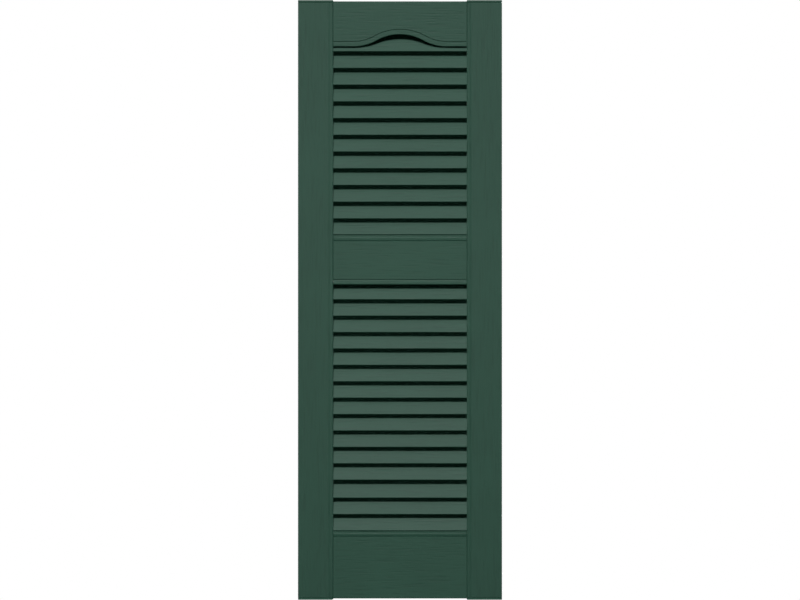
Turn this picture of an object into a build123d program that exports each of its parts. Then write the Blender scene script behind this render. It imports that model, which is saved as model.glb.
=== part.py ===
from build123d import *
from dataclasses import dataclass
from math import atan2, cos, degrees, radians, sin
import os

# Louvered vinyl shutter with an arched top rail, fixed flat against a house wall.
# Sizes are in millimetres. X runs to the right seen from the front, Y towards the wall, Z up.
# The origin is on the wall plane, behind the middle of the centre rail.


@dataclass(frozen=True)
class Bead:
    """Crowned bead along an edge of a face, with a groove between the bead and the face.

    Set in is the ledge between the edge and the bead. Reach runs from the edge to the groove's middle.
    Past the groove the bead's piece laps the face a little.
    """

    reach: float
    corner_radius: float
    fall: float
    groove_width: float = 1.2
    groove_depth: float = 1.5
    set_in: float = 0.0
    lap: float = 1.0

    @property
    def face_start(self):
        """Distance from the edge to where the flat face starts."""
        return self.reach + self.groove_width / 2

    @property
    def face_edge(self):
        """Distance from the edge to the edge of the face's own plate, in the middle of the lap."""
        return self.face_start + self.lap / 2


# Whole shutter
WIDTH = 368.3
HEIGHT = 1082.7
DEPTH = 25.4
TOP = 469.2
BOTTOM = TOP - HEIGHT
WALL = 2.2
RIB = 2.0

# Stiles: open-backed channels, with a crowned bead and a groove along the inner edge of the face
STILE_WIDTH = 63.5
OPENING = WIDTH - 2 * STILE_WIDTH
STILE_ROUND = 1.2
STILE_BEAD = Bead(reach=7.1, corner_radius=2.0, fall=0.3, groove_width=1.2, groove_depth=0.4)
STILE_RIBS = 11
STILE_RIB_BACK = 5.0
STILE_RIB_REACH = 50.0

# End caps: a flange that closes the stile's end, a little proud of its face, and a skirt inside it.
# Flange and stile are bevelled where they meet, so that the joint shows as a groove.
CAP_THICKNESS = 4.0
CAP_PROUD = 0.4
CAP_BEVEL = 0.8
CAP_SKIRT = 10.0
CAP_CLEARANCE = 0.15
STILE_BOTTOM = BOTTOM + CAP_THICKNESS
STILE_LENGTH = HEIGHT - 2 * CAP_THICKNESS

# Rails: the face is set back from the stiles, and each end clears its stile by a hair
RAIL_FRONT = 23.8
RAIL_INSET = 2.2
RAIL_GAP = 0.25
RAIL_LENGTH = OPENING - 2 * RAIL_GAP
RAIL_ROUND = 0.8
RAIL_BAYS = 4
CENTER_RAIL_HEIGHT = 89.8
LOWER_OPENING = 445.0
TOP_RAIL_TOP = TOP - RAIL_INSET
CENTER_RAIL_TOP = CENTER_RAIL_HEIGHT / 2
CENTER_RAIL_BOTTOM = -CENTER_RAIL_HEIGHT / 2
BOTTOM_RAIL_TOP = CENTER_RAIL_BOTTOM - LOWER_OPENING
BOTTOM_RAIL_BOTTOM = BOTTOM + RAIL_INSET

# Where a louver passes behind a rail's lower edge, the rail has a short lip there
# and its lower wall sits higher, above the louver. A flange hangs behind the arch.
TOP_RAIL_SHELF = 418.0
TOP_RAIL_FLANGE = 400.0
CENTER_RAIL_SHELF = -36.0

# Beads along the rails' edges. A rail's lower edge hangs as a lip in front of the louver behind it.
# A rail's upper edge has a ledge, back from the face, for the nosing of the louver above it,
# and a low upstand behind that nosing, which keeps light and rain out.
ARCH_BEAD = Bead(reach=9.2, corner_radius=1.2, fall=0.05)
CENTER_LOWER_BEAD = Bead(reach=9.6, corner_radius=2.0, fall=0.35)
CENTER_UPPER_BEAD = Bead(reach=10.2, corner_radius=1.0, fall=0.35, set_in=3.7)
BOTTOM_UPPER_BEAD = Bead(reach=9.0, corner_radius=1.0, fall=0.35, set_in=3.0)
LIP_DEPTH = 4.0
LEDGE_FRONT = 20.4
UPSTAND_FRONT = 16.8
UPSTAND_HEIGHT = 2.0

# Cathedral arch of the top rail: two equal tangent arcs each side of the middle
ARCH_FLAT = 385.3
ARCH_HALF_WIDTH = 84.0
ARCH_RISE = 22.0
ARCH_TURN = 2 * atan2(ARCH_RISE, ARCH_HALF_WIDTH)
ARCH_RADIUS = ARCH_HALF_WIDTH / (2 * sin(ARCH_TURN))

# Louvers: each blade leans back from its rounded nosing. The upper bank's last space is narrower,
# and the lower bank has one wider space, above its three last blades.
UPPER_LOUVERS = 12
LOWER_LOUVERS = 15
UPPER_PITCH = 30.2
LOWER_PITCH = 29.63
NARROWER_BY = 1.2
LAST_BLADES = 3
WIDER_BY = 2.85
LOUVER_TILT = 28.0
LOUVER_RISE = 33.0
LOUVER_FRONT = 22.0
NOSE_THICKNESS = 3.0
EDGE_THICKNESS = 2.0
NOSE_ROUND = 1.3
EDGE_ROUND = 0.7
LOUVER_SEAT = 6.0
LOUVER_GAP = 0.3
SLOT_CLEARANCE = 0.25
SLOT_DEPTH = LOUVER_SEAT + SLOT_CLEARANCE
LOUVER_LENGTH = OPENING + 2 * LOUVER_SEAT

# From a blade's square corner to the lowest and the foremost point of its rounded nosing
TILT_SIN = sin(radians(LOUVER_TILT))
TILT_COS = cos(radians(LOUVER_TILT))
NOSE_DROP = (NOSE_THICKNESS - NOSE_ROUND) * TILT_SIN + NOSE_ROUND * (1 - TILT_COS)
NOSE_SETBACK = NOSE_ROUND * (TILT_COS + TILT_SIN - 1)
BLADE_LENGTH = (LOUVER_RISE - NOSE_DROP) / TILT_COS

# Tabs on the rails' ends and the mortises in the stiles that take them
TAB_LENGTH = 9.0
TAB_THICKNESS = 3.0
TAB_HEIGHT = 12.0
TAB_Y = -11.5
TAB_SHARES = (0.25, 0.6)
MORTISE_CLEARANCE = 0.2

# Heights of the nosings, from the top of each bank down
upper_heights = [
    CENTER_RAIL_TOP + LOUVER_GAP + UPPER_PITCH * above - (NARROWER_BY if above else 0)
    for above in reversed(range(UPPER_LOUVERS))
]
lower_heights = [
    BOTTOM_RAIL_TOP + LOUVER_GAP + LOWER_PITCH * above + (WIDER_BY if above >= LAST_BLADES else 0)
    for above in reversed(range(LOWER_LOUVERS))
]


def tab_heights(bottom, top):
    """Heights of the two tabs on the end of a rail's box."""
    return [bottom + (top - bottom) * share for share in TAB_SHARES]


all_tab_heights = (
    tab_heights(TOP_RAIL_SHELF, TOP_RAIL_TOP)
    + tab_heights(CENTER_RAIL_SHELF, CENTER_RAIL_TOP)
    + tab_heights(BOTTOM_RAIL_BOTTOM, BOTTOM_RAIL_TOP)
)


def blade_place(nosing_height):
    """Place of a blade's lower front corner on a plane across the shutter."""
    corner_y = -LOUVER_FRONT - NOSE_SETBACK
    return Location((corner_y, nosing_height + NOSE_DROP, 0), (0, 0, -LOUVER_TILT))


def slot_outline():
    """A blade's section with room around it, apart from the underside that it rests on."""
    taper = (NOSE_THICKNESS - EDGE_THICKNESS) / BLADE_LENGTH
    low = -SLOT_CLEARANCE
    high = BLADE_LENGTH + SLOT_CLEARANCE
    return Polygon(
        (-SLOT_CLEARANCE, low),
        (NOSE_THICKNESS - taper * low, low),
        (NOSE_THICKNESS - taper * high, high),
        (-SLOT_CLEARANCE, high),
    )


def make_louver(nosing_height):
    """One tapered blade with a rounded nosing, long enough to seat in both stiles."""
    with BuildPart() as louver:
        with BuildSketch(Plane.YZ.offset(-LOUVER_LENGTH / 2)) as section:
            with Locations(blade_place(nosing_height)):
                Polygon(
                    (0, 0),
                    (NOSE_THICKNESS, 0),
                    (EDGE_THICKNESS, BLADE_LENGTH),
                    (0, BLADE_LENGTH),
                )
            fillet(section.vertices().sort_by(Axis.Y)[:2], radius=NOSE_ROUND)
            fillet(section.vertices().sort_by(Axis.Y)[-2:], radius=EDGE_ROUND)
        extrude(amount=LOUVER_LENGTH)
    return louver.part


def arch_line(rise):
    """Ogee from end to end of the top rail, at a set distance above the lip of its arch."""
    with BuildLine(Plane.XZ) as ogee:
        flat = Line((-RAIL_LENGTH / 2, ARCH_FLAT + rise), (-ARCH_HALF_WIDTH, ARCH_FLAT + rise))
        foot = JernArc(flat @ 1, flat % 1, ARCH_RADIUS - rise, degrees(ARCH_TURN))
        JernArc(foot @ 1, foot % 1, ARCH_RADIUS + rise, -degrees(ARCH_TURN))
        mirror(about=Plane.YZ)
    return ogee.line


def draw_bead(bead, front):
    """Corner, crown and groove in the open line, from the bead's own edge: x goes into the face."""
    corner = JernArc((bead.set_in, front - bead.corner_radius), (0, 1), bead.corner_radius, -90)
    crown = TangentArc(corner @ 1, (bead.reach - bead.groove_width / 2, front - bead.fall), tangent=(1, 0))
    Polyline(crown @ 1, (bead.reach, front - bead.groove_depth), (bead.face_start, front))


def edge_plane(edge_height, into):
    """Plane across a rail's end: x runs from the edge into the rail, y to the front."""
    return Plane(
        origin=(-into * RAIL_LENGTH / 2, 0, edge_height),
        x_dir=(0, 0, into),
        z_dir=(into, 0, 0),
    )


def lip_profile(bead, edge_height):
    """Section of a rail's lower edge: the lip, the bead, the groove and the face's start."""
    lip_back = RAIL_FRONT - LIP_DEPTH
    face_end = bead.face_start + bead.lap
    with BuildSketch(edge_plane(edge_height, 1)) as profile:
        with BuildLine():
            Line((0, lip_back), (0, RAIL_FRONT - bead.corner_radius))
            draw_bead(bead, RAIL_FRONT)
            Polyline(
                (bead.face_start, RAIL_FRONT),
                (face_end, RAIL_FRONT),
                (face_end, RAIL_FRONT - WALL),
                (WALL, RAIL_FRONT - WALL),
                (WALL, lip_back),
                (0, lip_back),
            )
        make_face()
    return profile.sketch


def ledge_profile(bead, edge_height):
    """Section of a rail's upper edge: the ledge, the bead, the groove and the face's start."""
    ledge_back = LEDGE_FRONT - WALL
    ledge_end = bead.set_in + WALL
    face_end = bead.face_start + bead.lap
    with BuildSketch(edge_plane(edge_height, -1)) as profile:
        with BuildLine():
            Polyline(
                (0, ledge_back),
                (0, LEDGE_FRONT),
                (bead.set_in, LEDGE_FRONT),
                (bead.set_in, RAIL_FRONT - bead.corner_radius),
            )
            draw_bead(bead, RAIL_FRONT)
            Polyline(
                (bead.face_start, RAIL_FRONT),
                (face_end, RAIL_FRONT),
                (face_end, RAIL_FRONT - WALL),
                (ledge_end, RAIL_FRONT - WALL),
                (ledge_end, ledge_back),
                (0, ledge_back),
            )
        make_face()
    return profile.sketch


def rail_box(bottom, top, rows=1):
    """Open-backed walls and ribs behind a rail's face, with a tab at two heights on each end."""
    bay_width = (RAIL_LENGTH - 2 * WALL - (RAIL_BAYS - 1) * RIB) / RAIL_BAYS
    bay_height = (top - bottom - 2 * WALL - (rows - 1) * RIB) / rows
    with BuildPart() as box:
        with BuildSketch(Plane.XZ):
            with Locations((0, (top + bottom) / 2)):
                Rectangle(RAIL_LENGTH, top - bottom)
                with GridLocations(bay_width + RIB, bay_height + RIB, RAIL_BAYS, rows):
                    Rectangle(bay_width, bay_height, mode=Mode.SUBTRACT)
        extrude(amount=RAIL_FRONT - WALL)
        reach = OPENING / 2 + TAB_LENGTH
        with Locations([(0, TAB_Y, z) for z in tab_heights(bottom, top)]):
            for side in (-1, 1):
                with Locations((side * (reach - TAB_LENGTH / 2 - RAIL_GAP / 2), 0, 0)):
                    Box(TAB_LENGTH + RAIL_GAP, TAB_THICKNESS, TAB_HEIGHT)
    return box.part


def make_face_plate(bottom, top):
    """Add a rail's flat front wall to the open part."""
    with Locations((0, -RAIL_FRONT + WALL / 2, (bottom + top) / 2)):
        Box(RAIL_LENGTH, WALL, top - bottom)


def shape_top(bead, top):
    """Cut the open part's box back to the ledge, beside the bead at its top, and add the upstand."""
    rebate_depth = RAIL_FRONT - LEDGE_FRONT
    with Locations((0, -RAIL_FRONT + rebate_depth / 2, top - bead.set_in / 2)):
        Box(RAIL_LENGTH, rebate_depth, bead.set_in, mode=Mode.SUBTRACT)
    with Locations((0, -UPSTAND_FRONT + WALL / 2, top)):
        Box(RAIL_LENGTH, WALL, 2 * UPSTAND_HEIGHT)


def stile_outline():
    """Outside of a stile's section: x runs from the inner edge into the stile, y to the front."""
    with BuildLine() as outline:
        Line((0, 0), (0, DEPTH - STILE_BEAD.corner_radius))
        draw_bead(STILE_BEAD, DEPTH)
        Line((STILE_BEAD.face_start, DEPTH), (STILE_WIDTH - STILE_ROUND, DEPTH))
        JernArc((STILE_WIDTH - STILE_ROUND, DEPTH), (1, 0), STILE_ROUND, -90)
        Polyline((STILE_WIDTH, DEPTH - STILE_ROUND), (STILE_WIDTH, 0), (0, 0))
    return outline.line


def left_stile_plane(height):
    """Level plane at the left stile's inner edge on the wall, x into the stile and y to the front."""
    return Plane(origin=(-OPENING / 2, 0, height), x_dir=(-1, 0, 0), z_dir=(0, 0, 1))


def round_front_edge(rail, height_order):
    """Round a rail's front edge at its highest (-1) or lowest (0) level."""
    level = rail.edges().filter_by(Axis.X).group_by(Axis.Z)[height_order]
    fillet(level.sort_by(Axis.Y)[0], radius=RAIL_ROUND)


stile_section = stile_outline()

with BuildPart() as left_stile:
    with BuildSketch(left_stile_plane(STILE_BOTTOM)):
        with BuildLine():
            add(stile_section)
        make_face()
        with Locations((STILE_WIDTH / 2, (DEPTH - WALL) / 2)):
            Rectangle(STILE_WIDTH - 2 * WALL, DEPTH - WALL, mode=Mode.SUBTRACT)
    extrude(amount=STILE_LENGTH)

    # Bevels on the face's two ends, beside the caps
    with BuildSketch(Plane.YZ.offset(-OPENING / 2)):
        for end, into in ((STILE_BOTTOM, 1), (STILE_BOTTOM + STILE_LENGTH, -1)):
            Polygon((-DEPTH, end), (-DEPTH + CAP_BEVEL, end), (-DEPTH, end + into * CAP_BEVEL))
    extrude(amount=-STILE_WIDTH, mode=Mode.SUBTRACT)

    # Ribs from the outer wall across the back of the face, clear of the louvers' ends
    rib_pitch = STILE_LENGTH / (STILE_RIBS + 1)
    rib_depth = DEPTH - WALL / 2 - STILE_RIB_BACK
    rib_x = -WIDTH / 2 + WALL / 2 + STILE_RIB_REACH / 2
    rib_y = -STILE_RIB_BACK - rib_depth / 2
    with Locations([(rib_x, rib_y, STILE_BOTTOM + rib_pitch * (i + 1)) for i in range(STILE_RIBS)]):
        Box(STILE_RIB_REACH, rib_depth, RIB)

    # Inclined slots that seat the louvers
    with BuildSketch(Plane.YZ.offset(-OPENING / 2)):
        with Locations([blade_place(height) for height in upper_heights + lower_heights]):
            slot_outline()
    extrude(amount=-SLOT_DEPTH, mode=Mode.SUBTRACT)

    # Mortises for the rails' tabs, each open above and beside its tab
    mortise_x = -OPENING / 2 - WALL / 2
    with Locations([(mortise_x, TAB_Y, z + MORTISE_CLEARANCE / 2) for z in all_tab_heights]):
        Box(
            WALL * 2,
            TAB_THICKNESS + 2 * MORTISE_CLEARANCE,
            TAB_HEIGHT + MORTISE_CLEARANCE,
            mode=Mode.SUBTRACT,
        )

with BuildPart() as right_stile:
    add(mirror(left_stile.part, about=Plane.YZ))


def make_cap(end_height, inwards):
    """End cap of the left stile; inwards is 1 at the bottom end and -1 at the top end."""
    skirt_width = STILE_WIDTH - 2 * WALL - 2 * CAP_CLEARANCE
    skirt_depth = DEPTH - WALL - CAP_CLEARANCE
    with BuildPart() as cap:
        with BuildSketch(left_stile_plane(end_height)) as flange:
            Rectangle(STILE_WIDTH, DEPTH + CAP_PROUD, align=Align.MIN)
            inner_corner = flange.vertices().group_by(Axis.X)[0].sort_by(Axis.Y)[-1]
            fillet(inner_corner, radius=STILE_BEAD.corner_radius)
            outer_corner = flange.vertices().group_by(Axis.X)[-1].sort_by(Axis.Y)[-1]
            fillet(outer_corner, radius=STILE_ROUND)
        extrude(amount=inwards * CAP_THICKNESS)
        front = cap.faces().sort_by(Axis.Y)[0]
        chamfer(front.edges().filter_by(Axis.X), length=CAP_BEVEL)
        with BuildSketch(left_stile_plane(end_height + inwards * CAP_THICKNESS)):
            with Locations((STILE_WIDTH / 2, skirt_depth / 2)):
                Rectangle(skirt_width, skirt_depth)
            with Locations((STILE_WIDTH / 2, (skirt_depth - WALL) / 2)):
                Rectangle(skirt_width - 2 * WALL, skirt_depth - WALL, mode=Mode.SUBTRACT)
        extrude(amount=inwards * CAP_SKIRT)
    return cap.part


arch_lip_profile = lip_profile(ARCH_BEAD, ARCH_FLAT)
arch_lip_line = arch_line(0)
face_arch = arch_line(ARCH_BEAD.face_edge)

with BuildPart() as top_rail:
    add(rail_box(TOP_RAIL_SHELF, TOP_RAIL_TOP))
    flange_height = TOP_RAIL_SHELF + WALL - TOP_RAIL_FLANGE
    with Locations((0, -WALL / 2, TOP_RAIL_FLANGE + flange_height / 2)):
        Box(RAIL_LENGTH, WALL, flange_height)
    with BuildSketch(Plane.XZ.offset(RAIL_FRONT - WALL)):
        with BuildLine():
            add(Plane.XZ.to_local_coords(face_arch))
            Polyline(
                (-RAIL_LENGTH / 2, ARCH_FLAT + ARCH_BEAD.face_edge),
                (-RAIL_LENGTH / 2, TOP_RAIL_TOP),
                (RAIL_LENGTH / 2, TOP_RAIL_TOP),
                (RAIL_LENGTH / 2, ARCH_FLAT + ARCH_BEAD.face_edge),
            )
        make_face()
    extrude(amount=WALL)
    round_front_edge(top_rail, -1)
    sweep(arch_lip_profile, path=arch_lip_line)

with BuildPart() as center_rail:
    add(rail_box(CENTER_RAIL_SHELF, CENTER_RAIL_TOP))
    shape_top(CENTER_UPPER_BEAD, CENTER_RAIL_TOP)
    plate_bottom = CENTER_RAIL_BOTTOM + CENTER_LOWER_BEAD.face_edge
    make_face_plate(plate_bottom, CENTER_RAIL_TOP - CENTER_UPPER_BEAD.face_edge)
    extrude(ledge_profile(CENTER_UPPER_BEAD, CENTER_RAIL_TOP), amount=RAIL_LENGTH)
    extrude(lip_profile(CENTER_LOWER_BEAD, CENTER_RAIL_BOTTOM), amount=RAIL_LENGTH)

with BuildPart() as bottom_rail:
    add(rail_box(BOTTOM_RAIL_BOTTOM, BOTTOM_RAIL_TOP, rows=2))
    shape_top(BOTTOM_UPPER_BEAD, BOTTOM_RAIL_TOP)
    make_face_plate(BOTTOM_RAIL_BOTTOM, BOTTOM_RAIL_TOP - BOTTOM_UPPER_BEAD.face_edge)
    round_front_edge(bottom_rail, 0)
    extrude(ledge_profile(BOTTOM_UPPER_BEAD, BOTTOM_RAIL_TOP), amount=RAIL_LENGTH)

os.makedirs("parts", exist_ok=True)

left_stile.part.label = "left_stile"
export_step(left_stile.part, "parts/left_stile.step")
right_stile.part.label = "right_stile"
export_step(right_stile.part, "parts/right_stile.step")
top_rail.part.label = "top_rail"
export_step(top_rail.part, "parts/top_rail.step")
center_rail.part.label = "center_rail"
export_step(center_rail.part, "parts/center_rail.step")
bottom_rail.part.label = "bottom_rail"
export_step(bottom_rail.part, "parts/bottom_rail.step")

for end, end_height, inwards in (("top", TOP, -1), ("bottom", BOTTOM, 1)):
    left_cap = make_cap(end_height, inwards)
    left_cap.label = f"left_stile_{end}_cap"
    export_step(left_cap, f"parts/{left_cap.label}.step")
    right_cap = mirror(left_cap, about=Plane.YZ)
    right_cap.label = f"right_stile_{end}_cap"
    export_step(right_cap, f"parts/{right_cap.label}.step")

for bank, heights in (("upper", upper_heights), ("lower", lower_heights)):
    for number, height in enumerate(heights, start=1):
        louver = make_louver(height)
        louver.label = f"{bank}_louver_{number:02d}"
        export_step(louver, f"parts/{louver.label}.step")
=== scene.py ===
"""Looks for the louvered vinyl shutter: embossed skins, two banks of blades, finishes, studio and camera."""

import logging
import math
from dataclasses import dataclass, field
from enum import Enum
from typing import ClassVar

import bmesh
import bpy
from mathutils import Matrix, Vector


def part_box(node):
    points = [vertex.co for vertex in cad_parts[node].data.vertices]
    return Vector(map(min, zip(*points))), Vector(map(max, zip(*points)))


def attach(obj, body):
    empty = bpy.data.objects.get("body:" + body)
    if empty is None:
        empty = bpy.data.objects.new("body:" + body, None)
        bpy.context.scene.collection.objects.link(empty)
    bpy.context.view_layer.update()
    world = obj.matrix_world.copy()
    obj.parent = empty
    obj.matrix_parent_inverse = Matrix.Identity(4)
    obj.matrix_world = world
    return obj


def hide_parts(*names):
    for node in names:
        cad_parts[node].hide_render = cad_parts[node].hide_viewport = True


logging.basicConfig(level=logging.INFO, format="%(name)s: %(message)s")
LOG = logging.getLogger("shutter")

MM = 0.001
BODY = "root"
CAP_ENDING = "_cap"
IMPORTED_NORMALS = "custom_normal"

# Attributes on the meshes: where grain may go, how deep a groove is, and a copy's number in its run.
MASK = "emboss_mask"
GRAIN = "grain"
COPY = "copy"

# The middle of a noise texture's colour, and the gap between nodes in the node editor.
NOISE_MIDDLE = (0.5, 0.5, 0.5)
NODE_GAP = 180


class Grain(Enum):
    """The way the moulded wood grain runs on a piece."""

    UPRIGHT = (0.0, 0.0, 1.0)
    LEVEL = (1.0, 0.0, 0.0)

    @property
    def along(self) -> Vector:
        """Unit vector along the grain."""
        return Vector(self.value)

    @property
    def across(self) -> Vector:
        """Unit vector across the grain on the face of a stile or rail, which lies in x and z."""
        return Vector(self.value[::-1])

    def stretch(self, along: float, across: float) -> tuple[float, float, float]:
        """Scale a position so that a pattern is drawn out along the grain.

        Args:
            along: Repeats a metre along the grain.
            across: Repeats a metre across it.

        Returns:
            The scale for x, y and z.
        """
        return tuple(along if part else across for part in self.value)


class NodeTree:
    """Short ways to add and join nodes in a shader or geometry tree."""

    def __init__(self, tree: bpy.types.NodeTree) -> None:
        """Take a tree and clear it.

        Args:
            tree: A material's or world's tree, or a geometry group.
        """
        self.tree = tree
        self.tree.nodes.clear()
        self.column = 0

    def add(self, kind: str, settings: dict[str, str] | None = None, **inputs: object) -> bpy.types.Node:
        """Add a node, then set or join its inputs.

        Args:
            kind: The node's Blender type name.
            settings: Values for the node's own properties.
            **inputs: An input's name, with _ for a space, and either a value or the socket to join.

        Returns:
            The new node.
        """
        node = self.tree.nodes.new(kind)
        node.location = (self.column * NODE_GAP, 0)
        self.column += 1
        for name, value in (settings or {}).items():
            setattr(node, name, value)
        for name, value in inputs.items():
            self.fill(self.socket(node, name.replace("_", " ")), value)
        return node

    def socket(self, node: bpy.types.Node, name: str) -> bpy.types.NodeSocket:
        """Find a node's first enabled input of a name."""
        return next(socket for socket in node.inputs if socket.name == name and socket.enabled)

    def fill(self, socket: bpy.types.NodeSocket, value: object) -> None:
        """Join an input to a socket, or set its value.

        Args:
            socket: The input.
            value: The socket to join, or the value to set.
        """
        if isinstance(value, bpy.types.NodeSocket):
            self.tree.links.new(value, socket)
        else:
            socket.default_value = value

    def work_out(self, kind: str, operation: str, *operands: object) -> bpy.types.NodeSocket:
        """Add a node that works something out from its first inputs.

        Args:
            kind: The node's Blender type name.
            operation: What it does with them.
            *operands: Values or sockets, in the order of the inputs.

        Returns:
            The node's first output.
        """
        node = self.add(kind, {"operation": operation})
        for socket, operand in zip(node.inputs, operands):
            self.fill(socket, operand)
        return node.outputs[0]

    def math(self, operation: str, first: object, second: object) -> bpy.types.NodeSocket:
        """Work out a number from two."""
        return self.work_out("ShaderNodeMath", operation, first, second)

    def vector_math(self, operation: str, first: object, second: object) -> bpy.types.NodeSocket:
        """Work out a vector from two."""
        return self.work_out("ShaderNodeVectorMath", operation, first, second)

    def scaled(self, vector: object, factor: object) -> bpy.types.NodeSocket:
        """Scale a vector by a number."""
        node = self.add("ShaderNodeVectorMath", {"operation": "SCALE"}, Vector=vector, Scale=factor)
        return node.outputs["Vector"]

    def ramp(self, value: object, low: float, high: float) -> bpy.types.NodeSocket:
        """Ease a value from 0 at one level to 1 at another.

        Args:
            value: The value.
            low: The level up to which the result is 0.
            high: The level from which it is 1.

        Returns:
            The eased value.
        """
        settings = {"interpolation_type": "SMOOTHSTEP"}
        node = self.add("ShaderNodeMapRange", settings, Value=value, From_Min=low, From_Max=high)
        return node.outputs["Result"]

    def blend(self, factor: object, low: tuple[float, ...], high: tuple[float, ...]) -> bpy.types.NodeSocket:
        """Mix two colours by a factor."""
        node = self.add("ShaderNodeMix", {"data_type": "RGBA"}, Factor=factor, A=low, B=high)
        return next(output for output in node.outputs if output.enabled)


@dataclass(frozen=True)
class VinylFinish:
    """Moulded-through green vinyl with a low sheen and fine streaks along its grain.

    Attributes:
        name: The material's name.
        grain: The way its streaks run.
        colour: Its linear colour.
        variation: How much darker or lighter the tone gets, as a share of the colour.
        tone_levels: The noise values between which the tone goes from dark to light.
        streak_share: The streaks' share of the tone. The mottle has the rest.
        groove_painted_shade: How much painted shade darkens the bottom of a pressed groove, as a share.
        mottle: The soft patches' repeats a metre.
        mottle_detail: The patches' octaves.
        streaks_along: The streaks' repeats a metre along the grain.
        streaks_across: Their repeats a metre across it.
        streak_detail: Their octaves.
        streak_gain: How strong each finer octave is beside the one before it.
        smooth: The roughness where the streaks are lowest.
        rough: The roughness where they are highest.
        pore_height: The streaks' height in metres.
        ior: The index of refraction, which sets how strong the sheen is.
    """

    name: str
    grain: Grain
    colour: tuple[float, float, float] = (0.0225, 0.0835, 0.0543)
    variation: float = 0.07
    tone_levels: tuple[float, float] = (0.3, 0.7)
    streak_share: float = 0.55
    groove_painted_shade: float = 0.12
    mottle: float = 7.0
    mottle_detail: float = 3.0
    streaks_along: float = 18.0
    streaks_across: float = 900.0
    streak_detail: float = 4.0
    streak_gain: float = 0.6
    smooth: float = 0.43
    rough: float = 0.56
    pore_height: float = 0.06 * MM
    ior: float = 1.42

    def material(self) -> bpy.types.Material:
        """Build the procedural material.

        Returns:
            A new material named for this finish.
        """
        material = bpy.data.materials.new(self.name)
        material.use_nodes = True
        nodes = NodeTree(material.node_tree)
        place = nodes.add("ShaderNodeTexCoord").outputs["Object"]
        streaks = self.streaks(nodes, place)
        roughness = nodes.math("ADD", self.smooth, nodes.math("MULTIPLY", streaks, self.rough - self.smooth))
        bump = nodes.add("ShaderNodeBump", Height=streaks, Strength=1.0, Distance=self.pore_height)
        shader = nodes.add(
            "ShaderNodeBsdfPrincipled",
            Base_Color=self.toned(nodes, place, streaks),
            Roughness=roughness,
            Normal=bump.outputs["Normal"],
            IOR=self.ior,
        )
        nodes.add("ShaderNodeOutputMaterial", Surface=shader.outputs["BSDF"])
        return material

    def streaks(self, nodes: NodeTree, place: bpy.types.NodeSocket) -> bpy.types.NodeSocket:
        """Fine streaks along the grain.

        Args:
            nodes: The tree to add to.
            place: The place on the object.

        Returns:
            The streaks as a noise value.
        """
        stretch = self.grain.stretch(self.streaks_along, self.streaks_across)
        noise = nodes.add(
            "ShaderNodeTexNoise",
            Vector=nodes.vector_math("MULTIPLY", place, stretch),
            Scale=1.0,
            Detail=self.streak_detail,
            Roughness=self.streak_gain,
        )
        return noise.outputs[0]

    def toned(
        self, nodes: NodeTree, place: bpy.types.NodeSocket, streaks: bpy.types.NodeSocket
    ) -> bpy.types.NodeSocket:
        """Colour that varies a little with the streaks and the mottle, with painted shade in the grooves.

        Args:
            nodes: The tree to add to.
            place: The place on the object.
            streaks: The streaks as a noise value.

        Returns:
            The colour.
        """
        noise = nodes.add("ShaderNodeTexNoise", Vector=place, Scale=self.mottle, Detail=self.mottle_detail)
        tone = nodes.math(
            "ADD",
            nodes.math("MULTIPLY", nodes.ramp(streaks, *self.tone_levels), self.streak_share),
            nodes.math("MULTIPLY", nodes.ramp(noise.outputs[0], *self.tone_levels), 1.0 - self.streak_share),
        )
        colour = nodes.blend(tone, self.shaded(1.0 - self.variation), self.shaded(1.0 + self.variation))
        # Painted shade: the colour darkens with each pressed groove's depth, where shade would fall.
        groove = nodes.add("ShaderNodeAttribute", {"attribute_name": GRAIN}).outputs["Fac"]
        shade = nodes.math("SUBTRACT", 1.0, nodes.math("MULTIPLY", groove, self.groove_painted_shade))
        return nodes.scaled(colour, shade)

    def shaded(self, factor: float) -> tuple[float, ...]:
        """The finish's colour times a factor, with its alpha."""
        return (*(part * factor for part in self.colour), 1.0)


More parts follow.
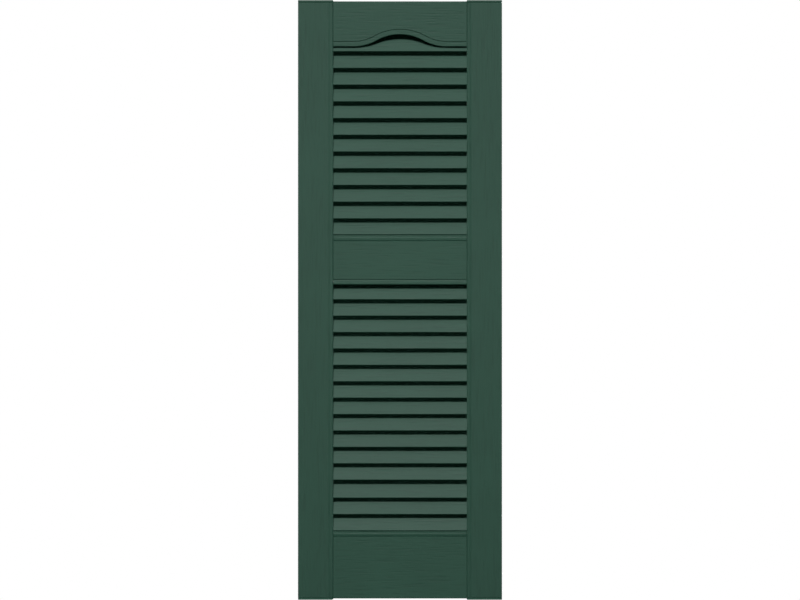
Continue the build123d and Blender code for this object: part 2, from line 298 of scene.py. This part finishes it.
@dataclass
class Dicer:
    """Cuts a piece's front faces into a fine grid that can take the embossed grain. Sizes are metres.

    Attributes:
        grain: The way the grain runs.
        across: Unit vector across the grain, in the front face.
        facing: Unit vector out of the front face.
        front_depth: How far the front faces may reach behind the piece's foremost level.
        least_turn: The least part of a front face's normal that points along facing.
        pitch_along: The grid's spacing along the grain.
        pitch_across: The grid's spacing across it.
        merge: Corners closer than this become one.
        crease: The angle past which an edge stays sharp, in radians.
        fade_rings: How many rings of the grid the grain takes to reach its full depth.
    """

    grain: Grain
    across: Vector
    facing: Vector = field(default_factory=lambda: Vector((0.0, -1.0, 0.0)))
    front_depth: float = 3.5 * MM
    least_turn: float = 0.2
    pitch_along: float = 3.0 * MM
    pitch_across: float = 0.65 * MM
    merge: float = 0.004 * MM
    crease: float = math.radians(32.0)
    fade_rings: int = 2

    def skin(self, node: str, name: str) -> bpy.types.Object:
        """Copy a node's mesh, close its seams, dice its front and mark where the grain may go.

        Args:
            node: The frame's node to copy.
            name: The new piece's name.

        Returns:
            The new piece, at the origin.
        """
        work = bmesh.new()
        work.from_mesh(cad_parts[node].data)
        bmesh.ops.remove_doubles(work, verts=work.verts, dist=self.merge)
        front = self.front_faces(work)
        front = self.cut(work, front, self.grain.along, self.pitch_along)
        front = self.cut(work, front, self.across, self.pitch_across)
        self.mark(work, front)
        mesh = bpy.data.meshes.new(name)
        work.to_mesh(mesh)
        work.free()
        # The node's own normals belong to loose triangles, so the merged mesh goes without them.
        mesh.attributes.remove(mesh.attributes[IMPORTED_NORMALS])
        mesh.shade_smooth()
        mesh.set_sharp_from_angle(angle=self.crease)
        piece = bpy.data.objects.new(name, mesh)
        bpy.context.scene.collection.objects.link(piece)
        return piece

    def front_faces(self, work: bmesh.types.BMesh) -> list[bmesh.types.BMFace]:
        """Find the faces that turn to the front and lie close under the piece's foremost level.

        Args:
            work: The piece's mesh.

        Returns:
            Those faces.
        """
        foremost = max(vert.co.dot(self.facing) for vert in work.verts)
        return [
            face
            for face in work.faces
            if face.normal.dot(self.facing) > self.least_turn
            and min(vert.co.dot(self.facing) for vert in face.verts) > foremost - self.front_depth
        ]

    def cut(
        self, work: bmesh.types.BMesh, faces: list[bmesh.types.BMFace], axis: Vector, pitch: float
    ) -> list[bmesh.types.BMFace]:
        """Cut faces by evenly spaced planes across an axis.

        Args:
            work: The mesh that holds them.
            faces: The faces to cut.
            axis: The planes' unit normal.
            pitch: The distance between planes.

        Returns:
            The faces, with those that the cuts add.
        """
        levels = [vert.co.dot(axis) for face in faces for vert in face.verts]
        low = min(levels)
        count = max(1, round((max(levels) - low) / pitch))
        step = (max(levels) - low) / count
        return self.halve(work, faces, axis, [low + step * number for number in range(1, count)])

    def halve(
        self, work: bmesh.types.BMesh, faces: list[bmesh.types.BMFace], axis: Vector, levels: list[float]
    ) -> list[bmesh.types.BMFace]:
        """Cut at the middle level, then do the same with the faces on each side of it.

        In this way a plane only meets faces close to it, which saves most of the time.

        Args:
            work: The mesh that holds them.
            faces: The faces to cut.
            axis: The planes' unit normal.
            levels: The planes' places along the axis, from the lowest.

        Returns:
            The faces, with those that the cuts add.
        """
        if not levels or not faces:
            return faces
        half = len(levels) // 2
        level = levels[half]
        below, above, crossing = [], [], []
        for face in faces:
            heights = [vert.co.dot(axis) for vert in face.verts]
            if max(heights) <= level + self.merge:
                below.append(face)
            elif min(heights) >= level - self.merge:
                above.append(face)
            else:
                crossing.append(face)
        if crossing:
            edges = {edge for face in crossing for edge in face.edges}
            verts = {vert for face in crossing for vert in face.verts}
            made = bmesh.ops.bisect_plane(
                work,
                geom=[*verts, *edges, *crossing],
                dist=self.merge / 2,
                plane_co=axis * level,
                plane_no=axis,
            )
            for face in made["geom"]:
                if isinstance(face, bmesh.types.BMFace):
                    side = below if face.calc_center_median().dot(axis) < level else above
                    side.append(face)
        return [
            *self.halve(work, below, axis, levels[:half]),
            *self.halve(work, above, axis, levels[half + 1:]),
        ]

    def mark(self, work: bmesh.types.BMesh, front: list[bmesh.types.BMFace]) -> None:
        """Write how deep the grain may go: nothing at the front's border, all of it a few rings in.

        Args:
            work: The piece's mesh.
            front: Its diced front faces.
        """
        layer = work.verts.layers.float.new(MASK)
        inside = set(front)
        verts = {vert for face in front for vert in face.verts}
        ring = {vert for vert in verts if any(face not in inside for face in vert.link_faces)}
        left = verts - ring
        for number in range(1, self.fade_rings):
            ring = {edge.other_vert(vert) for vert in ring for edge in vert.link_edges} & left
            left -= ring
            for vert in ring:
                vert[layer] = number / self.fade_rings
        for vert in left:
            vert[layer] = 1.0


@dataclass
class Embosser:
    """Geometry Nodes tree that repeats a piece and presses wood grain into its diced front.

    Attributes:
        grain: The way the grain runs.
        seed: A number that gives a piece its own pattern. Each further copy adds one.
        depth: The grooves' depth in metres.
        streaks_along: The grooves' repeats a metre along the grain.
        streaks_across: Their repeats a metre across it.
        detail: Their octaves.
        groove_levels: The noise values between which the face goes down into a groove.
        warp: The width in which the grooves wander, in metres.
        warp_along: The wandering's repeats a metre along the grain.
        warp_across: Its repeats a metre across the grain.
        modifier_name: The modifier's name while it is there.
    """

    INPUTS: ClassVar[dict[str, str]] = {
        "Geometry": "NodeSocketGeometry",
        "Count": "NodeSocketInt",
        "Step": "NodeSocketFloat",
        "Depth": "NodeSocketFloat",
        "Seed": "NodeSocketFloat",
        "Material": "NodeSocketMaterial",
    }

    grain: Grain
    seed: float
    depth: float = 0.09 * MM
    streaks_along: float = 22.0
    streaks_across: float = 420.0
    detail: float = 3.0
    groove_levels: tuple[float, float] = (0.48, 0.68)
    warp: float = 1.4 * MM
    warp_along: float = 9.0
    warp_across: float = 45.0
    modifier_name: str = "Moulding"

    def press(
        self, piece: bpy.types.Object, material: bpy.types.Material, count: int = 1, step: float = 0.0
    ) -> None:
        """Run the tree on a piece and keep its result as the piece's plain mesh.

        Args:
            piece: The diced piece.
            material: The material that the tree sets.
            count: How many copies the piece becomes, one under the other.
            step: The distance from one copy down to the next.
        """
        modifier = piece.modifiers.new(self.modifier_name, "NODES")
        modifier.node_group = self.tree(piece.name)
        values = {
            "Count": count,
            "Step": step,
            "Depth": self.depth,
            "Seed": self.seed,
            "Material": material,
        }
        for item in modifier.node_group.interface.items_tree:
            if item.in_out == "INPUT" and item.name in values:
                modifier[item.identifier] = values[item.name]
        graph = bpy.context.evaluated_depsgraph_get()
        mesh = bpy.data.meshes.new_from_object(piece.evaluated_get(graph), depsgraph=graph)
        piece.modifiers.remove(modifier)
        piece.data = mesh
        mesh.name = piece.name

    def tree(self, name: str) -> bpy.types.NodeTree:
        """Build the tree: copies down the bank, the grain pressed into each, and the material.

        Args:
            name: The name of the piece that it is for.

        Returns:
            The node group.
        """
        group = bpy.data.node_groups.new(f"{name}_moulding", "GeometryNodeTree")
        for label, kind in self.INPUTS.items():
            group.interface.new_socket(label, in_out="INPUT", socket_type=kind)
        group.interface.new_socket("Geometry", in_out="OUTPUT", socket_type="NodeSocketGeometry")
        nodes = NodeTree(group)
        given = nodes.add("NodeGroupInput").outputs
        copies = self.copies(nodes, given)
        number, mask = (
            nodes.add("GeometryNodeInputNamedAttribute", {"data_type": "FLOAT"}, Name=label).outputs[0]
            for label in (COPY, MASK)
        )
        pattern = self.streaks(nodes, nodes.math("ADD", given["Seed"], number))
        groove = nodes.math("MULTIPLY", pattern, mask)
        marked = self.labelled(nodes, copies, "POINT", GRAIN, groove)
        inwards = nodes.math("MULTIPLY", nodes.math("MULTIPLY", groove, given["Depth"]), -1.0)
        offset = nodes.scaled(nodes.add("GeometryNodeInputNormal").outputs[0], inwards)
        pressed = nodes.add("GeometryNodeSetPosition", Geometry=marked, Offset=offset).outputs[0]
        dressed = nodes.add("GeometryNodeSetMaterial", Geometry=pressed, Material=given["Material"])
        nodes.add("NodeGroupOutput", Geometry=dressed.outputs[0])
        return group

    def copies(self, nodes: NodeTree, given: bpy.types.NodeOutputs) -> bpy.types.NodeSocket:
        """Repeat the piece downwards, and keep each copy's number on it.

        Args:
            nodes: The tree to add to.
            given: The tree's own inputs.

        Returns:
            The copies as one mesh.
        """
        drop = nodes.add("ShaderNodeCombineXYZ", Z=nodes.math("MULTIPLY", given["Step"], -1.0)).outputs[0]
        row = nodes.add("GeometryNodeMeshLine", Count=given["Count"], Offset=drop).outputs[0]
        placed = nodes.add("GeometryNodeInstanceOnPoints", Points=row, Instance=given["Geometry"]).outputs[0]
        number = nodes.add("GeometryNodeInputIndex").outputs[0]
        numbered = self.labelled(nodes, placed, "INSTANCE", COPY, number)
        return nodes.add("GeometryNodeRealizeInstances", Geometry=numbered).outputs[0]

    @staticmethod
    def labelled(
        nodes: NodeTree, geometry: bpy.types.NodeSocket, domain: str, label: str, value: bpy.types.NodeSocket
    ) -> bpy.types.NodeSocket:
        """Keep a number on a geometry as a named attribute.

        Args:
            nodes: The tree to add to.
            geometry: The geometry.
            domain: What the number is kept on, a point or an instance.
            label: The attribute's name.
            value: The number.

        Returns:
            The geometry with the attribute.
        """
        kept = nodes.add(
            "GeometryNodeStoreNamedAttribute",
            {"data_type": "FLOAT", "domain": domain},
            Geometry=geometry,
            Name=label,
            Value=value,
        )
        return kept.outputs[0]

    def streaks(self, nodes: NodeTree, seed: bpy.types.NodeSocket) -> bpy.types.NodeSocket:
        """Long wavy streaks, from 0 on the face to 1 in a groove.

        Args:
            nodes: The tree to add to.
            seed: A number that differs from copy to copy.

        Returns:
            The streaks' depth as a share.
        """
        settings = {"noise_dimensions": "4D"}
        place = nodes.add("GeometryNodeInputPosition").outputs[0]
        wide = nodes.vector_math("MULTIPLY", place, self.grain.stretch(self.warp_along, self.warp_across))
        bend = nodes.add("ShaderNodeTexNoise", settings, Vector=wide, W=seed, Scale=1.0).outputs["Color"]
        bent = nodes.scaled(nodes.vector_math("SUBTRACT", bend, NOISE_MIDDLE), self.warp)
        fine = nodes.vector_math(
            "MULTIPLY",
            nodes.vector_math("ADD", place, bent),
            self.grain.stretch(self.streaks_along, self.streaks_across),
        )
        noise = nodes.add("ShaderNodeTexNoise", settings, Vector=fine, W=seed, Scale=1.0, Detail=self.detail)
        return nodes.ramp(noise.outputs[0], *self.groove_levels)


@dataclass
class FrameMember:
    """One stile or rail: the node's shape with grain pressed into its face.

    Attributes:
        node: The frame's node that it replaces.
        grain: The way its grain runs.
        seed: A number that gives it its own grain.
        slot: Its material slot in the record. Not used.
    """

    node: str
    grain: Grain
    seed: float
    slot: str = "frame"

    def build(self, material: bpy.types.Material) -> bpy.types.Object:
        """Make the member's skin in place of its node.

        Args:
            material: The member's material.

        Returns:
            The finished piece.
        """
        piece = Dicer(self.grain, self.grain.across).skin(self.node, f"{self.node}_skin")
        Embosser(self.grain, self.seed).press(piece, material)
        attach(piece, BODY)
        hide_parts(self.node)
        return piece


@dataclass
class LouverBank:
    """A bank of inclined blades, numbered from the top and made in runs of even spacing.

    Attributes:
        name: The bank's name, as in its nodes' names.
        seed: A number that gives the first blade its own grain. Each blade below adds one.
        runs: The first and last blade of each run. A long stretch is split to keep a piece small.
        tilt: How far the blades lean back, in radians.
        front_depth: How far a blade's front faces may reach behind its foremost level, in metres.
        slot: The blades' material slot in the record. Not used.
    """

    name: str
    seed: float
    runs: tuple[tuple[int, int], ...]
    tilt: float = math.radians(28.0)
    front_depth: float = 2.0 * MM
    slot: str = "louver"

    def build(self, material: bpy.types.Material) -> list[bpy.types.Object]:
        """Make every run of the bank."""
        return [self.run(first, last, material) for first, last in self.runs]

    def run(self, first: int, last: int, material: bpy.types.Material) -> bpy.types.Object:
        """Dice the run's top blade, repeat it downwards and press the grain.

        Args:
            first: The number of the run's top blade.
            last: The number of its bottom blade.
            material: The blades' material.

        Returns:
            The finished run of blades.
        """
        blades = [f"{self.name}_louver_{number:02d}" for number in range(first, last + 1)]
        rise = Vector((0.0, math.sin(self.tilt), math.cos(self.tilt)))
        facing = Vector((0.0, -math.cos(self.tilt), math.sin(self.tilt)))
        dicer = Dicer(Grain.LEVEL, rise, facing, self.front_depth)
        piece = dicer.skin(blades[0], f"{self.name}_louvers_{first}_to_{last}")
        embosser = Embosser(Grain.LEVEL, self.seed + first - 1)
        embosser.press(piece, material, len(blades), self.spacing(blades))
        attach(piece, BODY)
        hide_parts(*blades)
        return piece

    @staticmethod
    def spacing(blades: list[str]) -> float:
        """The distance from one of a run's blades down to the next."""
        top, bottom = (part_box(blade)[0].z for blade in (blades[0], blades[-1]))
        return (top - bottom) / max(1, len(blades) - 1)


@dataclass
class SoftLight:
    """One square studio light that faces the shutter's middle.

    Attributes:
        name: The light's name.
        place: Where it stands from the shutter's middle, in metres.
        side: The length of its sides in metres.
        watts: Its power.
        spread: The angle of its beam in degrees.
    """

    name: str
    place: tuple[float, float, float]
    side: float
    watts: float
    spread: float = 180.0

    def build(self, target: Vector) -> bpy.types.Object:
        """Make the light and turn it to a point.

        Args:
            target: The point that it faces.

        Returns:
            The light's object.
        """
        lamp = bpy.data.lights.new(self.name, "AREA")
        lamp.shape = "SQUARE"
        lamp.size = self.side
        lamp.energy = self.watts
        lamp.spread = math.radians(self.spread)
        light = bpy.data.objects.new(self.name, lamp)
        light.location = target + Vector(self.place)
        light.rotation_euler = (-Vector(self.place)).to_track_quat("-Z", "Y").to_euler()
        bpy.context.scene.collection.objects.link(light)
        return light


@dataclass
class Studio:
    """White background, pale floor, soft lights and the photograph's camera. Sizes are metres.

    Attributes:
        camera_distance: From the shutter's face to the camera.
        camera_height: The camera's height in the shutter's frame.
        camera_pitch: The turn from straight down to level, in radians.
        face: How far the shutter's face stands off the wall.
        lens: The focal length in millimetres.
        sensor: The sensor's width in millimetres.
        floor_height: The floor's height in the shutter's frame.
        floor_side: The length of the floor's sides.
        floor_colour: Its linear colour.
        floor_roughness: Its roughness.
        floor_glow: How strongly it shines by itself, which keeps it pale.
        room_light: How strongly the white backdrop lights the scene.
        lights: The soft lights.
    """

    camera_distance: float = 7.0
    camera_height: float = -0.0723
    camera_pitch: float = math.radians(90.0)
    face: float = 0.0254
    lens: float = 174.5
    sensor: float = 36.0
    floor_height: float = -1.05
    floor_side: float = 8.8
    floor_colour: tuple[float, float, float] = (0.8, 0.8, 0.79)
    floor_roughness: float = 0.8
    floor_glow: float = 0.16
    room_light: float = 0.012
    lights: tuple[SoftLight, ...] = (
        SoftLight("key", place=(-1.5, -24.5, 16.9), side=4.2, watts=6150.0),
        SoftLight("overhead", place=(-0.2, -1.3, 1.95), side=1.0, watts=4.6),
        SoftLight("low_fill", place=(0.0, -5.0, -1.0), side=1.2, watts=8.0),
        SoftLight("front_spot", place=(-0.6, -3.0, 0.35), side=0.5, watts=0.08, spread=26.0),
        SoftLight("high_spot", place=(-0.2, -1.3, 1.95), side=0.3, watts=0.11, spread=26.0),
        SoftLight("back_fill", place=(1.5, 8.5, -0.6), side=2.2, watts=330.0),
        SoftLight("left_fill", place=(-9.0, 1.2, 1.6), side=4.0, watts=420.0),
        SoftLight("right_fill", place=(9.0, 1.2, 1.6), side=4.0, watts=420.0),
    )

    def build(self) -> None:
        """Build everything around the shutter."""
        self.camera()
        self.floor()
        self.world()
        for light in self.lights:
            light.build(Vector((0.0, 0.0, self.camera_height)))
        bpy.context.scene.view_settings.view_transform = "Standard"

    def camera(self) -> None:
        """Level camera with a long lens, as far off as the photograph's."""
        data = bpy.data.cameras.new("camera")
        data.lens = self.lens
        data.sensor_width = self.sensor
        camera = bpy.data.objects.new("camera", data)
        camera.location = (0.0, -self.camera_distance - self.face, self.camera_height)
        camera.rotation_euler = (self.camera_pitch, 0.0, 0.0)
        bpy.context.scene.collection.objects.link(camera)
        bpy.context.scene.camera = camera

    def floor(self) -> None:
        """Plain pale floor, below the photograph's frame, that throws no light on the shutter."""
        half = self.floor_side / 2
        corners = [(x * half, y * half, self.floor_height) for x, y in ((-1, -1), (1, -1), (1, 1), (-1, 1))]
        mesh = bpy.data.meshes.new("floor")
        mesh.from_pydata(corners, [], [(0, 1, 2, 3)])
        material = bpy.data.materials.new("pale_floor")
        material.use_nodes = True
        nodes = NodeTree(material.node_tree)
        shader = nodes.add(
            "ShaderNodeBsdfPrincipled",
            Base_Color=(*self.floor_colour, 1.0),
            Roughness=self.floor_roughness,
            Emission_Color=(*self.floor_colour, 1.0),
            Emission_Strength=self.floor_glow,
        )
        nodes.add("ShaderNodeOutputMaterial", Surface=shader.outputs["BSDF"])
        mesh.materials.append(material)
        floor = bpy.data.objects.new("floor", mesh)
        bpy.context.scene.collection.objects.link(floor)
        floor.visible_diffuse = False
        floor.visible_glossy = False

    def world(self) -> None:
        """White backdrop all round, which lights the shutter only a little."""
        world = bpy.data.worlds.new("studio")
        world.use_nodes = True
        bpy.context.scene.world = world
        nodes = NodeTree(world.node_tree)
        seen = nodes.add("ShaderNodeLightPath").outputs["Is Camera Ray"]
        strength = nodes.math("ADD", self.room_light, nodes.math("MULTIPLY", seen, 1.0 - self.room_light))
        white = nodes.add("ShaderNodeBackground", Color=(1.0, 1.0, 1.0, 1.0), Strength=strength)
        nodes.add("ShaderNodeOutputWorld", Surface=white.outputs[0])


@dataclass
class Shutter:
    """The whole shutter: stiles, rails, end caps and two banks of louvers.

    Attributes:
        upright: The stiles' finish.
        level: The rails' finish.
        blade: The louvers' finish.
        cap: The end caps' finish.
        members: The stiles and rails.
        banks: The louvers above and below the centre rail.
    """

    # The rails' colour is a little lighter and the blades' a little darker than the stiles'. Each was fitted
    # to how bright that piece looks under these lights, so the difference is painted light and shade on one
    # vinyl.
    upright: VinylFinish = VinylFinish("green_vinyl_upright", Grain.UPRIGHT)
    level: VinylFinish = VinylFinish("green_vinyl_level", Grain.LEVEL, colour=(0.0240, 0.0875, 0.0570))
    blade: VinylFinish = VinylFinish(
        "green_vinyl_blade", Grain.LEVEL, colour=(0.0205, 0.0812, 0.0524), smooth=0.48, rough=0.60, ior=1.4
    )
    cap: VinylFinish = VinylFinish("green_vinyl_cap", Grain.LEVEL, streaks_along=300.0, streaks_across=300.0)
    members: tuple[FrameMember, ...] = (
        FrameMember("left_stile", Grain.UPRIGHT, seed=1.0),
        FrameMember("right_stile", Grain.UPRIGHT, seed=2.0),
        FrameMember("top_rail", Grain.LEVEL, seed=3.0),
        FrameMember("center_rail", Grain.LEVEL, seed=4.0),
        FrameMember("bottom_rail", Grain.LEVEL, seed=5.0),
    )
    banks: tuple[LouverBank, ...] = (
        LouverBank("upper", seed=20.0, runs=((1, 11), (12, 12))),
        LouverBank("lower", seed=40.0, runs=((1, 6), (7, 12), (13, 15))),
    )

    def build(self) -> None:
        """Make every piece and report it."""
        upright, level, blade, cap = (
            finish.material() for finish in (self.upright, self.level, self.blade, self.cap)
        )
        for member in self.members:
            self.report(member.build(upright if member.grain is Grain.UPRIGHT else level))
        for bank in self.banks:
            for run in bank.build(blade):
                self.report(run)
        for name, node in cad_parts.items():
            if name.endswith(CAP_ENDING):
                node.data.materials[0] = cap
                self.report(node)

    @staticmethod
    def report(piece: bpy.types.Object) -> None:
        """Log a piece's name and how many triangles it has."""
        piece.data.calc_loop_triangles()
        LOG.info("%s: %d triangles", piece.name, len(piece.data.loop_triangles))


def main() -> None:
    """Build the studio and the shutter."""
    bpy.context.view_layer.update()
    Studio().build()
    Shutter().build()


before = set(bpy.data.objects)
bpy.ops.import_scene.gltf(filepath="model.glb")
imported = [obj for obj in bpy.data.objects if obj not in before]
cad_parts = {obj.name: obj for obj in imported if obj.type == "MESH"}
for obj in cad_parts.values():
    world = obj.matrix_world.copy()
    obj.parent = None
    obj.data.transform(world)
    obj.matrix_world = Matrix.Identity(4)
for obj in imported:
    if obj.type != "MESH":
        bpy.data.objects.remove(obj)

if __name__ == "__main__":
    main()
